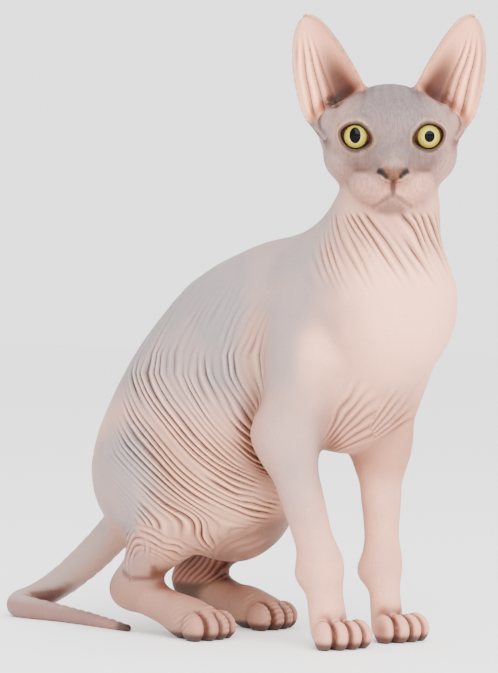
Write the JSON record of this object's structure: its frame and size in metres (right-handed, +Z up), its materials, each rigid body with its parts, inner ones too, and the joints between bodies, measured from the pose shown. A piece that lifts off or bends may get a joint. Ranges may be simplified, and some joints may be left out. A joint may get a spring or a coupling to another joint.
{
  "type": "sphynx cat",
  "caption": "Life-size still model of a hairless cat that half sits on its hind feet, head turned to its right, tail bent along the floor.",
  "frame": {"origin": "middle of the model's box, on the floor under the belly", "axes": "+X towards the chest and the front paws, +Y to the cat's left, +Z up"},
  "size_m": [0.3692, 0.1242, 0.4],
  "materials": {
    "skin": "soft matte bare skin, grey-lilac on the back and pink-beige below, finely creased",
    "ear_skin": "thin pink-beige skin, deeper pink at the root",
    "eye": "wet gloss over a yellow-green iris and black pupil"
  },
  "bodies": {
    "root": {"head": "skin", "neck": "skin", "torso": "skin", "foreleg_right": "skin", "foreleg_left": "skin", "forepaw_right": "skin", "forepaw_left": "skin", "hindleg_right": "skin", "hindleg_left": "skin", "hindfoot_right": "skin", "hindfoot_left": "skin", "tail_base": "skin", "tail_bend": "skin", "tail_end": "skin", "ear_left": "ear_skin", "ear_right": "ear_skin", "eye_left": "eye", "eye_right": "eye"}
  },
  "joints": []
}
